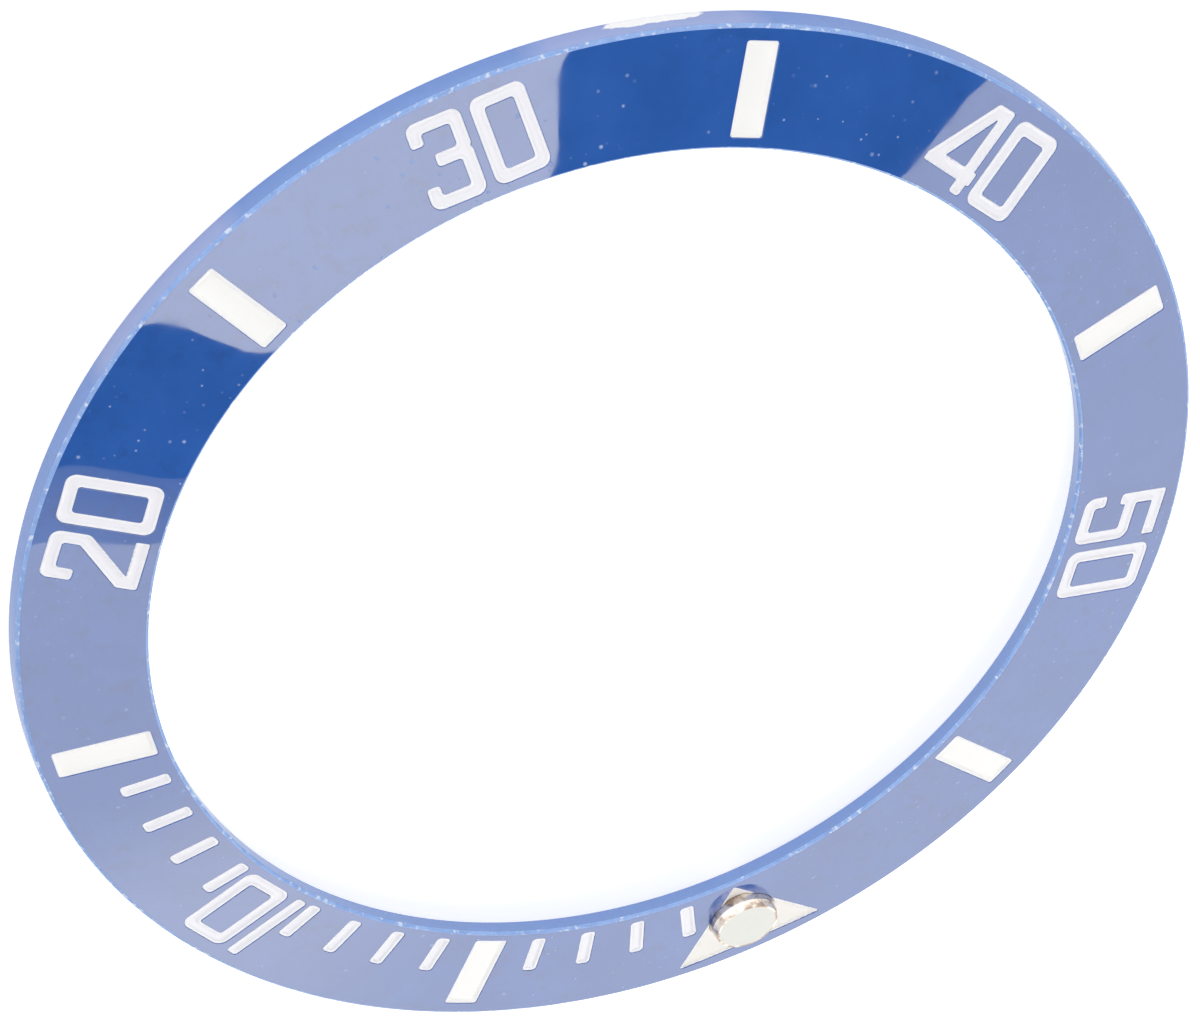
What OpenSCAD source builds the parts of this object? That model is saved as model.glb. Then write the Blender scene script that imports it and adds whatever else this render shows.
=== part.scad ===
// Bezel insert of a diving watch: a thin dished ring whose sloping front carries a
// sixty minute scale of white inlays, with a raised luminous pearl in its triangle.
// Millimetres. The origin is the middle of the flat seat under the rim, +Z leaves the
// front of the ring and +Y runs towards the triangle at twelve o'clock.

/* [Ring] */
// Outside diameter of the ring
ring_d = 38; // [37.5:0.25:39.5]
// Width of the ring between its outside and its bore, seen from the front
ring_w = 3.95; // [3.85:0.05:4.2]
// Height of the wall around the outside
rim_h = 0.8; // [0.7:0.05:1.1]
// Height of the wall around the bore, above the hollow of the back
bore_h = 0.6; // [0.5:0.05:0.75]
// Slope of the front face, in degrees from flat
face_angle = 13.8; // [11:0.2:16]
// Width of the flat seat under the rim
seat_w = 0.45; // [0.3:0.05:0.7]
// Size of the chamfers on the two front edges
front_edge = 0.1; // [0.05:0.01:0.14]
// Size of the chamfers on the two back edges
back_edge = 0.05; // [0.02:0.01:0.1]

/* [Scale] */
// Distance from the bore to the inner ends of the bars and ticks
scale_inset = 0.37; // [0.25:0.02:0.45]
// Distance from the outer ends of the bars to the outside of the ring
scale_margin = 0.5; // [0.4:0.02:0.7]
// Width of a five minute bar
bar_w = 1.06; // [0.8:0.02:1.2]
// Corner radius of a five minute bar
bar_r = 0.1; // [0.04:0.02:0.2]
// Width of a minute tick
tick_w = 0.46; // [0.34:0.02:0.54]
// Length of a minute tick
tick_l = 1.58; // [1.2:0.02:2]
// Corner radius of a minute tick
tick_r = 0.14; // [0.04:0.02:0.16]
// Width of the triangle along its outer side
triangle_w = 4.86; // [4.4:0.02:5]
// How much further in than the bars the tip of the triangle reaches
triangle_tip = 0.12; // [0:0.01:0.12]
// Corner radius of the triangle
triangle_r = 0.07; // [0.03:0.01:0.12]

/* [Numerals] */
// How much shorter a numeral is than a bar
numeral_drop = 0.07; // [0:0.01:0.2]
// Width of the strokes
stroke = 0.44; // [0.38:0.01:0.48]
// Space between the two digits of a number
digit_gap = 0.28; // [0.22:0.01:0.36]
// Gap between the number 10 and the minute ticks beside it, at their inner ends
tick_gap = 0.13; // [0.1:0.01:0.2]
// Width of the two, the three and the five
digit_w = 1.79; // [1.7:0.01:1.85]
// Width of the four without the stub of its crossbar
four_w = 1.94; // [1.8:0.01:2]
// Radius of the round outer corners
digit_r = 0.34; // [0.26:0.01:0.36]
// Radius at the ends of the strokes
end_r = 0.12; // [0.04:0.01:0.14]
// Radius inside the corners
inner_r = 0.1; // [0.04:0.01:0.14]

/* [Inlays] */
// Depth of the recess that holds an inlay
recess_depth = 0.18; // [0.15:0.01:0.24]
// How far the lip of an inlay stays below the face
fill_sink = 0.02; // [0.01:0.01:0.04]
// How far the middle of an inlay sinks below its lip
fill_dish = 0.06; // [0.03:0.01:0.08]
// Width of the lip along the edge of an inlay
fill_lip = 0.09; // [0.06:0.01:0.12]

/* [Pearl] */
// Diameter of the metal cup of the pearl
pearl_d = 2.16; // [2.12:0.02:2.3]
// Distance of the middle of the pearl from the inner ends of the bars
pearl_offset = 1.56; // [1.5:0.02:1.6]
// How far the rim of the cup stands above the face
pearl_stand = 0.46; // [0.4:0.02:0.54]
// How far the wider collar of the cup stands above the face
collar_stand = 0.22; // [0.16:0.01:0.26]
// Depth of the counterbore that the cup sits in
pearl_seat = 0.3; // [0.25:0.01:0.36]
// Gap all round between the cup and its hole
pearl_gap = 0.02; // [0.01:0.01:0.04]
// Thickness of the wall of the cup at its collar
pearl_wall = 0.15; // [0.14:0.01:0.2]
// Width of the step between the collar and the neck of the cup
collar_step = 0.06; // [0.04:0.01:0.07]
// Diameter of the stem behind the cup
stem_d = 1.3; // [1:0.05:1.5]
// Height of the dome on the luminous filling
lume_rise = 0.07; // [0.03:0.01:0.1]

/* [Hidden] */

ring_r = ring_d / 2;
bore_r = ring_r - ring_w;
minute_angle = 360 / 60;
bar_minutes = [5, 15, 25, 35, 45, 55];
tick_minutes = [1, 2, 3, 4, 6, 7, 8, 9, 11, 12, 13, 14];

// The marks run outward from here
scale_r = bore_r + scale_inset;
bar_l = ring_r - scale_margin - scale_r;
digit_h = bar_l - numeral_drop;

// The stub of the crossbar right of the stem of the four
four_stub = 0.12;
// Width of the one, hardly narrower than a stroke
one_w = stroke - 0.02;
// The slanting stroke of the two is a little heavier than the others
slant = stroke + 0.04;
// The zero is as wide as the ticks beside the number 10 leave room for
zero_w = 2 * (scale_r * tan(minute_angle) - tick_w / 2 - tick_gap) - one_w - digit_gap;

// Tools and cutting shapes reach this much past the solid they cut
spare = 1;
// Nudge that keeps a corner piece overlapping the outline it rounds
overlap = 0.02;
// A corner's arc is larger by this share than one that only touches the two sides, so
// that it crosses them at a slight angle and the corner comes out clean
arc_reach = 0.004;
// An arc that the inset leaves smaller than this becomes a sharp corner
least_arc = 0.035;
round_fn = 48;
ring_fn = 360;

fill_color = [0.94, 0.93, 0.9];

// Height of the front face and of the hollow back at a distance r from the axis
function face_z(r) = rim_h + (ring_r - r) * tan(face_angle);
back_slope = (face_z(bore_r) - bore_h) / (ring_r - seat_w - bore_r);
function back_z(r) = max(0, (ring_r - seat_w - r) * back_slope);
// Shapes drawn flat are cut or raised to here, clear of the highest edge of the face
tall = face_z(bore_r) + spare;

pearl_at = scale_r + pearl_offset;
// The hole of the pearl is wider than the triangle there and parts its tip from its base
triangle_split = pearl_at - 0.6;
// Length of the cup and its stem below the face, along their own slanting axis
stem_back = 0.1;
stem_depth = (face_z(pearl_at) - back_z(pearl_at)) * cos(face_angle) - stem_back;
cup_r = pearl_d / 2;
lume_r = cup_r - pearl_wall;
// The rounded rim overhangs the neck a little
bead_overhang = 0.02;
bead_r = (pearl_wall - collar_step + bead_overhang) / 2;
bead_z = pearl_stand - bead_r;
collar_r = 0.05;

// Corner lists: [x, y, corner radius], counter-clockwise. A mark is drawn upright,
// y away from the middle of the ring, x clockwise along it.
function box_corners(x0, y0, x1, y1, r) = [[x0, y0, r], [x1, y0, r], [x1, y1, r], [x0, y1, r]];

// Where the slanting edge of the two, moved sideways by its stroke, meets a height or a side
two_foot = 0.65;
two_neck = digit_h - 0.97;
two_run = [digit_w - stroke, two_neck - two_foot];
two_side = [two_run.y, -two_run.x] / norm(two_run) * slant;
two_inner_x = two_side.x + (stroke - two_foot - two_side.y) * two_run.x / two_run.y;
two_outer_y = two_foot + two_side.y + (digit_w - two_side.x) * two_run.y / two_run.x;
two_hook = digit_h - 1;

two_corners = [
    [0, 0, end_r],
    [digit_w, 0, end_r / 2],
    [digit_w, stroke, end_r / 2],
    [two_inner_x, stroke, 0],
    [digit_w, two_outer_y, digit_r],
    [digit_w, digit_h, digit_r],
    [0, digit_h, digit_r - 0.06],
    [0, two_hook, end_r],
    [stroke, two_hook, end_r],
    [stroke, digit_h - stroke, inner_r],
    [digit_w - stroke, digit_h - stroke, inner_r],
    [digit_w - stroke, two_neck, digit_r / 2],
    [0, two_foot, digit_r / 2]
];

// The three: hooks on the left, a short middle bar and a small nick at the waist
waist = digit_h / 2 + 0.12;
nick = 0.06;
middle_x = digit_w / 3;
lower_hook = 0.8;
upper_hook = digit_h - 0.83;

three_corners = [
    [0, 0, digit_r],
    [digit_w, 0, digit_r],
    [digit_w, waist - 2 * nick, end_r],
    [digit_w - nick, waist, 0],
    [digit_w, waist + 2 * nick, end_r],
    [digit_w, digit_h, digit_r],
    [0, digit_h, digit_r],
    [0, upper_hook, end_r],
    [stroke, upper_hook, end_r],
    [stroke, digit_h - stroke, inner_r],
    [digit_w - stroke, digit_h - stroke, inner_r],
    [digit_w - stroke, waist + stroke / 2 - 0.04, inner_r],
    [middle_x, waist + stroke / 2 - 0.04, end_r],
    [middle_x, waist - stroke / 2 - 0.06, end_r],
    [digit_w - stroke, waist - stroke / 2 - 0.06, inner_r],
    [digit_w - stroke, stroke, inner_r],
    [stroke, stroke, inner_r],
    [stroke, lower_hook, end_r],
    [0, lower_hook, end_r]
];

// The four: its crossbar runs a little past the stem
bar_low = 0.41;
bar_high = bar_low + stroke + 0.02;
four_corners = [
    [four_w - stroke, 0, end_r],
    [four_w, 0, end_r],
    [four_w, bar_low, 0],
    [four_w + four_stub, bar_low, end_r / 2],
    [four_w + four_stub, bar_high, end_r / 2],
    [four_w, bar_high, 0],
    [four_w, digit_h, end_r],
    [four_w * 0.63, digit_h, end_r + 0.06],
    [0, bar_low + 0.27, end_r],
    [0, bar_low, end_r / 2],
    [four_w - stroke, bar_low, 0]
];
four_window = [
    [four_w * 0.335, bar_high, 0],
    [four_w - stroke, bar_high, 0.05],
    [four_w - stroke, digit_h - 0.44, 0]
];

// The five: the upright runs down past the middle bar
bowl_top = digit_h / 2 + 0.48;
upright_end = bowl_top - stroke - 0.2;
five_corners = [
    [0, 0, digit_r],
    [digit_w, 0, digit_r],
    [digit_w, bowl_top, digit_r],
    [stroke, bowl_top, 0.05],
    [stroke, digit_h - stroke, 0.05],
    [digit_w - 0.03, digit_h - stroke, end_r / 2],
    [digit_w - 0.03, digit_h, end_r / 2],
    [0, digit_h, end_r],
    [0, upright_end, end_r],
    [stroke, upright_end, end_r],
    [stroke, bowl_top - stroke, 0],
    [digit_w - stroke, bowl_top - stroke, inner_r],
    [digit_w - stroke, stroke, inner_r],
    [stroke, stroke, inner_r],
    [stroke, lower_hook, end_r],
    [0, lower_hook, end_r]
];

triangle_corners = [
    [0, -triangle_tip, triangle_r],
    [triangle_w / 2, bar_l - 0.02, triangle_r],
    [-triangle_w / 2, bar_l - 0.02, triangle_r]
];

// Which digit stands before the zero of a number, and how wide each one is
function first_digit(minute) = ["one", "two", "three", "four", "five"][minute / 10 - 1];
function width_of(digit) =
    digit == "one" ? one_w :
    digit == "four" ? four_w :
    digit == "zero" ? zero_w :
    digit_w;
function number_w(minute) = width_of(first_digit(minute)) + digit_gap + zero_w;
function digit_x(digit, minute) =
    digit == "zero" ? number_w(minute) / 2 - zero_w : -number_w(minute) / 2;

// Moves one corner so that both of its sides come in by the inset
function side_normal(a, b) = [b.y - a.y, a.x - b.x] / norm([b.x - a.x, b.y - a.y]);
function turn(a, b, c) = (b.x - a.x) * (c.y - b.y) - (b.y - a.y) * (c.x - b.x);
function moved(a, b, c, inset) = let (
        n = side_normal(a, b),
        m = side_normal(b, c),
        shift = (n + m) * inset / (1 + n * m),
        r = b.z == 0 ? 0 : turn(a, b, c) > 0 ? b.z - inset : b.z + inset
    ) [b.x - shift.x, b.y - shift.y, r < least_arc ? 0 : r];

// The sliver between a sharp corner and the arc that rounds it
module corner_sliver(a, b, c) {
    u = [a.x - b.x, a.y - b.y] / norm([a.x - b.x, a.y - b.y]);
    w = [c.x - b.x, c.y - b.y] / norm([c.x - b.x, c.y - b.y]);
    middle = (u + w) / norm(u + w);
    half = acos(u * w) / 2;
    corner = [b.x, b.y];
    centre = corner + middle * b.z / sin(half);
    touch_u = corner + u * b.z / tan(half) - centre;
    touch_w = corner + w * b.z / tan(half) - centre;
    difference() {
        polygon([
            centre + touch_u * (1 + arc_reach / 2),
            corner - middle * overlap,
            centre + touch_w * (1 + arc_reach / 2)
        ]);
        translate(centre) circle(r = b.z * (1 + arc_reach), $fn = round_fn);
    }
}

// A closed outline with true arcs at its corners, drawn in by the inset
module outline(corners, inset = 0) {
    n = len(corners);
    p = [for (i = [0 : n - 1])
        moved(corners[(i + n - 1) % n], corners[i], corners[(i + 1) % n], inset)];
    difference() {
        union() {
            polygon([for (q = p) [q.x, q.y]]);
            for (i = [0 : n - 1]) {
                a = p[(i + n - 1) % n];
                c = p[(i + 1) % n];
                if (p[i].z > 0 && turn(a, p[i], c) < 0) corner_sliver(c, p[i], a);
            }
        }
        for (i = [0 : n - 1]) {
            a = p[(i + n - 1) % n];
            c = p[(i + 1) % n];
            if (p[i].z > 0 && turn(a, p[i], c) > 0) corner_sliver(a, p[i], c);
        }
    }
}

module zero_shape(inset) {
    difference() {
        outline(box_corners(0, 0, zero_w, digit_h, digit_r), inset);
        outline(
            box_corners(stroke, stroke, zero_w - stroke, digit_h - stroke, inner_r),
            -inset
        );
    }
}

module four_shape(inset) {
    difference() {
        outline(four_corners, inset);
        outline(four_window, -inset);
    }
}

module digit_shape(digit, inset) {
    if (digit == "zero") zero_shape(inset);
    if (digit == "one") outline(box_corners(0, 0, one_w, digit_h, end_r), inset);
    if (digit == "two") outline(two_corners, inset);
    if (digit == "three") outline(three_corners, inset);
    if (digit == "four") four_shape(inset);
    if (digit == "five") outline(five_corners, inset);
}

// One mark, flat, at its own minute of the scale
module mark(kind, minute, inset = 0) {
    rotate([0, 0, -minute * minute_angle]) translate([0, scale_r]) {
        if (kind == "bar") {
            outline(box_corners(-bar_w / 2, 0, bar_w / 2, bar_l, bar_r), inset);
        } else if (kind == "tick") {
            outline(box_corners(-tick_w / 2, 0, tick_w / 2, tick_l, tick_r), inset);
        } else if (kind == "triangle") {
            outline(triangle_corners, inset);
        } else {
            translate([digit_x(kind, minute), 0]) digit_shape(kind, inset);
        }
    }
}

// The space between two levels below the face, which follow its slope
module face_layer(low, high) {
    inner = bore_r - spare;
    outer = ring_r + spare;
    rotate_extrude($fn = ring_fn) polygon([
        [inner, face_z(inner) - low],
        [outer, face_z(outer) - low],
        [outer, face_z(outer) - high],
        [inner, face_z(inner) - high]
    ]);
}

// Stands a shape on the face where the pearl sits, square to the slope
module at_pearl() {
    translate([0, pearl_at, face_z(pearl_at)]) rotate([-face_angle, 0, 0]) children();
}

module pearl_hole() {
    at_pearl() {
        translate([0, 0, -pearl_seat])
            cylinder(h = pearl_seat + spare, r = cup_r + pearl_gap, $fn = round_fn);
        translate([0, 0, -tall])
            cylinder(h = tall, r = stem_d / 2 + pearl_gap, $fn = round_fn);
    }
}

// White filling of one recess: a low floor inside a lip that follows the outline
module inlay(kind, minute) {
    color(fill_color) difference() {
        intersection() {
            linear_extrude(height = tall) mark(kind, minute);
            face_layer(recess_depth, fill_sink);
        }
        intersection() {
            linear_extrude(height = tall) mark(kind, minute, fill_lip);
            face_layer(fill_sink + fill_dish, -spare);
        }
    }
}

// Section of the ring: seat, outer wall, sloping face, bore wall and hollow back
module ring_blank() {
    bore_low = face_z(bore_r) - bore_h;
    rotate_extrude($fn = ring_fn) polygon([
        [ring_r - seat_w, 0],
        [ring_r - back_edge, 0],
        [ring_r, back_edge],
        [ring_r, rim_h - front_edge],
        [ring_r - front_edge, face_z(ring_r - front_edge)],
        [bore_r + front_edge, face_z(bore_r + front_edge)],
        [bore_r, face_z(bore_r) - front_edge],
        [bore_r, bore_low + back_edge],
        [bore_r + back_edge, back_z(bore_r + back_edge)]
    ]);
}

module insert_ring() {
    color([0.13, 0.27, 0.6]) difference() {
        ring_blank();
        intersection() {
            linear_extrude(height = tall) {
                for (minute = bar_minutes) mark("bar", minute);
                for (minute = tick_minutes) mark("tick", minute);
                for (minute = [10 : 10 : 50]) {
                    mark(first_digit(minute), minute);
                    mark("zero", minute);
                }
                mark("triangle", 0);
            }
            face_layer(recess_depth, -spare);
        }
        pearl_hole();
    }
}

module triangle_inlay(y0, y1) {
    color(fill_color) intersection() {
        difference() {
            inlay("triangle", 0);
            pearl_hole();
        }
        translate([-triangle_w, y0, 0]) cube([2 * triangle_w, y1 - y0, tall]);
    }
}

module triangle_tip() {
    triangle_inlay(bore_r, triangle_split);
}

module triangle_base() {
    triangle_inlay(triangle_split, ring_r);
}

// Turned metal cup: a round-shouldered collar, a neck and a rim bead outside, and a
// flat pocket inside whose floor is level with the face
module pearl_cup() {
    color([0.78, 0.76, 0.73]) at_pearl() rotate_extrude($fn = round_fn) {
        translate([0, -stem_depth]) square([stem_d / 2, stem_depth - pearl_seat + overlap]);
        difference() {
            union() {
                translate([0, -pearl_seat])
                    square([cup_r, pearl_seat + collar_stand - collar_r]);
                square([cup_r - collar_r, collar_stand]);
                translate([cup_r - collar_r, collar_stand - collar_r])
                    circle(r = collar_r, $fn = round_fn);
                square([cup_r - collar_step, bead_z]);
                translate([lume_r + bead_r, bead_z]) circle(r = bead_r, $fn = round_fn);
            }
            square([lume_r, pearl_stand + spare]);
        }
    }
}

// Luminous filling of the cup, closed by a shallow dome
module pearl_lume() {
    dome_r = (lume_r * lume_r + lume_rise * lume_rise) / (2 * lume_rise);
    color([0.93, 0.94, 0.9]) at_pearl() rotate_extrude($fn = round_fn) intersection() {
        square([lume_r, pearl_stand + lume_rise]);
        translate([0, bead_z + lume_rise - dome_r]) circle(r = dome_r, $fn = ring_fn);
    }
}

insert_ring();
triangle_tip();
triangle_base();
pearl_cup();
pearl_lume();
inlay("bar", 5);  // minute_bar_05
inlay("bar", 15);  // minute_bar_15
inlay("bar", 25);  // minute_bar_25
inlay("bar", 35);  // minute_bar_35
inlay("bar", 45);  // minute_bar_45
inlay("bar", 55);  // minute_bar_55
inlay("one", 10);  // numeral_10_one
inlay("zero", 10);  // numeral_10_zero
inlay("two", 20);  // numeral_20_two
inlay("zero", 20);  // numeral_20_zero
inlay("three", 30);  // numeral_30_three
inlay("zero", 30);  // numeral_30_zero
inlay("four", 40);  // numeral_40_four
inlay("zero", 40);  // numeral_40_zero
inlay("five", 50);  // numeral_50_five
inlay("zero", 50);  // numeral_50_zero
inlay("tick", 1);  // minute_tick_01
inlay("tick", 2);  // minute_tick_02
inlay("tick", 3);  // minute_tick_03
inlay("tick", 4);  // minute_tick_04
inlay("tick", 6);  // minute_tick_06
inlay("tick", 7);  // minute_tick_07
inlay("tick", 8);  // minute_tick_08
inlay("tick", 9);  // minute_tick_09
inlay("tick", 11);  // minute_tick_11
inlay("tick", 12);  // minute_tick_12
inlay("tick", 13);  // minute_tick_13
inlay("tick", 14);  // minute_tick_14
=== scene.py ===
"""Looks of the bezel insert: fine ring, inlays and pearl in the CAD frame, studio light and camera.

Lengths are millimetres until point() turns them into metres. The frame's origin is the middle of
the seat, +Z leaves the front and +Y runs to the triangle. A mark is drawn upright in its own
plane, x clockwise along the ring and y outward from the inner ends of the bars.
"""
import math

import bpy
import numpy as np
from mathutils import Matrix, Vector, geometry


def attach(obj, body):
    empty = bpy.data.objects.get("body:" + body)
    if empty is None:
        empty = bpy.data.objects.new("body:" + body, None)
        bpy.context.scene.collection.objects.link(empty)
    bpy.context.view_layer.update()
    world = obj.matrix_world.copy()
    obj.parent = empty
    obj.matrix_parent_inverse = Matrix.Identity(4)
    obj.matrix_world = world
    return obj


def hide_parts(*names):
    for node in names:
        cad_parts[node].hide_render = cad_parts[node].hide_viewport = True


MM = 0.001

# Ring, as in the part's source
RING_R = 19.0
BORE_R = 15.05
RIM_H = 0.8
BORE_H = 0.6
FACE_ANGLE = math.radians(13.8)
SLOPE = math.tan(FACE_ANGLE)
SEAT_W = 0.45
FRONT_EDGE = 0.1
BACK_EDGE = 0.05
# The middle of a front edge lies this far off the flat chamfer, sideways and up
EDGE_CROWN = (0.012, 0.014)
# How far the polish has rolled the face over at its edges, the minute where it did so most, and
# the power by which the roll grows towards the edges
ROLL_OFF = math.radians(0.25)
ROLL_OFF_AT = 20
ROLL_OFF_POWER = 5
# Material slots of the ring, in the order of its materials
FACE, EDGE, BACK, WALL = range(4)

# Scale
SCALE_R = BORE_R + 0.37
BAR_L = RING_R - 0.5 - SCALE_R
BAR_W = 1.06
BAR_R = 0.1
TICK_W = 0.46
TICK_L = 1.58
TICK_R = 0.14
TRIANGLE_W = 4.86
TRIANGLE_TIP = 0.12
TRIANGLE_R = 0.07

# Numerals
DIGIT_H = BAR_L - 0.07
STROKE = 0.44
DIGIT_GAP = 0.28
ZERO_W = 1.8214
DIGIT_W = 1.79
FOUR_W = 1.94
FOUR_STUB = 0.12
ONE_W = STROKE - 0.02
SLANT = STROKE + 0.04
DIGIT_R = 0.34
END_R = 0.12
INNER_R = 0.1
# Inner corners of the four and the five
TIGHT_R = 0.05
# Height of the lower hook of the three and the five
HOOK_H = 0.8

# Inlays: level below the face against distance in from the outline, in a soft trough
RECESS_DEPTH = 0.18
TROUGH = [(0.0, 0.04), (0.01, 0.024), (0.028, 0.02), (0.062, 0.02), (0.08, 0.025), (0.1, 0.045),
          (0.122, 0.066), (0.15, 0.078), (0.175, 0.08)]
LIP_W = 0.085
# The ring's own edge round a recess, down to its floor
RECESS_LIP = [(-0.012, 0.0), (-0.004, 0.003), (0.0, 0.012), (0.0, RECESS_DEPTH)]

# Pearl
PEARL_R = 1.08
PEARL_AT = SCALE_R + 1.56
PEARL_STAND = 0.46
COLLAR_STAND = 0.22
PEARL_SEAT = 0.3
PEARL_GAP = 0.02
PEARL_WALL = 0.15
SHOULDER_H = 0.21
NECK_FILLET = 0.01
# The neck leans in by this many degrees, up to the rounded rim
NECK_LEAN = 14
RIM_R = 0.04
STEM_R = 0.65
# The stem ends this far short of the ring's back
STEM_END_GAP = 0.1
# The hole is cut this far beyond the face each way, out of the ring and its triangle
CUT_REACH = 3.0
LUME_R = PEARL_R - PEARL_WALL
LUME_RISE = 0.07
# The filling laps onto the cup's rounded rim up to this far below its top
LUME_BELOW = 0.01

# Painted highlight low on the outer wall, whose near-white colour stands in for a lamp's reflection,
# and paler stretches of the outer wall: minute, height of the middle, length, height
PAINTED_HIGHLIGHT = (33.2, 0.17, 3.5, 0.52)
PALE_STRETCHES = [(33.1, 0.4, 7.6, 3.0), (24.4, 0.4, 6.8, 3.0)]
# They reach this far into the ring's radius, which keeps them off the opposite side
PATCH_REACH = 6.0
# Where they start to fade and where they end, as shares of the way to their border. The painted
# highlight has noise added to that share, which makes it ragged.
PAINTED_HIGHLIGHT_FADE = (1.35, 1.45)
PALE_STRETCH_FADE = (0.8, 1.1)

# Fineness of the meshes. The face has rings of points where its roll-off bends most.
FACE_RINGS = [-0.92, -0.8, -0.6, 0.0, 0.6, 0.8, 0.92]
RING_STEPS = 900
EDGE_STEP = 0.2
CORNER_STEPS = 6
LEAST_ARC = 0.012
PEARL_STEPS = 128
ARC_STEPS = 8
RIM_STEPS = 16
FILLET_STEPS = 4
DOME_STEPS = 12
# Edges that bend by more degrees than this stay sharp, on the ring and inlays, and on the pearl
CREASE = 35
PEARL_CREASE = 50
# A vertex this close to the face's cone is on it
CONE_SLACK = 0.0002
# Points of a flat fill this close together become one
MERGE_GAP = 1e-5
# A point of a trough may lie this much nearer to the outline than its inset
TROUGH_SLACK = 0.002
# Least squared length of a side, so that nothing is divided by zero
LEAST_SQUARE = 1e-12

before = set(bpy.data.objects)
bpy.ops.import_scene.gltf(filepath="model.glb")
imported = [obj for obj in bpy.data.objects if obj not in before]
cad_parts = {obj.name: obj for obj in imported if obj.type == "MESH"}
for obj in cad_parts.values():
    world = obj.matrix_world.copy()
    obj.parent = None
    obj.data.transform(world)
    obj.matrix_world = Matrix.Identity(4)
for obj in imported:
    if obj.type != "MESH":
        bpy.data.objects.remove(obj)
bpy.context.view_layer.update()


def face_z(r):
    return RIM_H + (RING_R - r) * SLOPE


def back_z(r):
    edge = RING_R - SEAT_W
    return max(0.0, (edge - r) * (face_z(BORE_R) - BORE_H) / (edge - BORE_R))


def point(x, y, z):
    """A point given in millimetres."""
    return Vector((x, y, z)) * MM


# The outlines are lists of corners (x, y, corner radius), counter-clockwise
def box_corners(x0, y0, x1, y1, r):
    return [(x0, y0, r), (x1, y0, r), (x1, y1, r), (x0, y1, r)]


def two_corners():
    foot = 0.65
    neck = DIGIT_H - 0.97
    hook = DIGIT_H - 1
    run = Vector((DIGIT_W - STROKE, neck - foot))
    side = Vector((run.y, -run.x)).normalized() * SLANT
    inner_x = side.x + (STROKE - foot - side.y) * run.x / run.y
    outer_y = foot + side.y + (DIGIT_W - side.x) * run.y / run.x
    return [
        (0, 0, END_R), (DIGIT_W, 0, END_R / 2), (DIGIT_W, STROKE, END_R / 2), (inner_x, STROKE, 0),
        (DIGIT_W, outer_y, DIGIT_R), (DIGIT_W, DIGIT_H, DIGIT_R), (0, DIGIT_H, DIGIT_R - 0.06),
        (0, hook, END_R), (STROKE, hook, END_R), (STROKE, DIGIT_H - STROKE, INNER_R),
        (DIGIT_W - STROKE, DIGIT_H - STROKE, INNER_R), (DIGIT_W - STROKE, neck, DIGIT_R / 2),
        (0, foot, DIGIT_R / 2),
    ]


def three_corners():
    waist = DIGIT_H / 2 + 0.12
    nick = 0.06
    middle = DIGIT_W / 3
    inner = DIGIT_W - STROKE
    bar_top = waist + STROKE / 2 - 0.04
    bar_low = waist - STROKE / 2 - 0.06
    upper_hook = DIGIT_H - 0.83
    return [
        (0, 0, DIGIT_R), (DIGIT_W, 0, DIGIT_R), (DIGIT_W, waist - 2 * nick, END_R),
        (DIGIT_W - nick, waist, 0), (DIGIT_W, waist + 2 * nick, END_R), (DIGIT_W, DIGIT_H, DIGIT_R),
        (0, DIGIT_H, DIGIT_R), (0, upper_hook, END_R), (STROKE, upper_hook, END_R),
        (STROKE, DIGIT_H - STROKE, INNER_R), (inner, DIGIT_H - STROKE, INNER_R),
        (inner, bar_top, INNER_R), (middle, bar_top, END_R), (middle, bar_low, END_R),
        (inner, bar_low, INNER_R), (inner, STROKE, INNER_R), (STROKE, STROKE, INNER_R),
        (STROKE, HOOK_H, END_R), (0, HOOK_H, END_R),
    ]


def four_loops():
    low = 0.41
    high = low + STROKE + 0.02
    stem = FOUR_W - STROKE
    slant_foot = low + 0.27
    slant_top = FOUR_W * 0.63
    window_foot = FOUR_W * 0.335
    outer = [
        (stem, 0, END_R), (FOUR_W, 0, END_R), (FOUR_W, low, 0),
        (FOUR_W + FOUR_STUB, low, END_R / 2), (FOUR_W + FOUR_STUB, high, END_R / 2),
        (FOUR_W, high, 0), (FOUR_W, DIGIT_H, END_R), (slant_top, DIGIT_H, END_R + 0.06),
        (0, slant_foot, END_R), (0, low, END_R / 2), (stem, low, 0),
    ]
    window = [(window_foot, high, 0), (stem, high, TIGHT_R), (stem, DIGIT_H - STROKE, 0)]
    return [outer, window]


def five_corners():
    bowl_top = DIGIT_H / 2 + 0.48
    upright_end = bowl_top - STROKE - 0.2
    arm = DIGIT_W - 0.03
    inner = DIGIT_W - STROKE
    return [
        (0, 0, DIGIT_R), (DIGIT_W, 0, DIGIT_R), (DIGIT_W, bowl_top, DIGIT_R),
        (STROKE, bowl_top, TIGHT_R), (STROKE, DIGIT_H - STROKE, TIGHT_R),
        (arm, DIGIT_H - STROKE, END_R / 2), (arm, DIGIT_H, END_R / 2), (0, DIGIT_H, END_R),
        (0, upright_end, END_R), (STROKE, upright_end, END_R), (STROKE, bowl_top - STROKE, 0),
        (inner, bowl_top - STROKE, INNER_R), (inner, STROKE, INNER_R), (STROKE, STROKE, INNER_R),
        (STROKE, HOOK_H, END_R), (0, HOOK_H, END_R),
    ]


def zero_loops():
    return [
        box_corners(0, 0, ZERO_W, DIGIT_H, DIGIT_R),
        box_corners(STROKE, STROKE, ZERO_W - STROKE, DIGIT_H - STROKE, INNER_R),
    ]


TRIANGLE = [
    (0, -TRIANGLE_TIP, TRIANGLE_R),
    (TRIANGLE_W / 2, BAR_L - 0.02, TRIANGLE_R),
    (-TRIANGLE_W / 2, BAR_L - 0.02, TRIANGLE_R),
]

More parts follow.
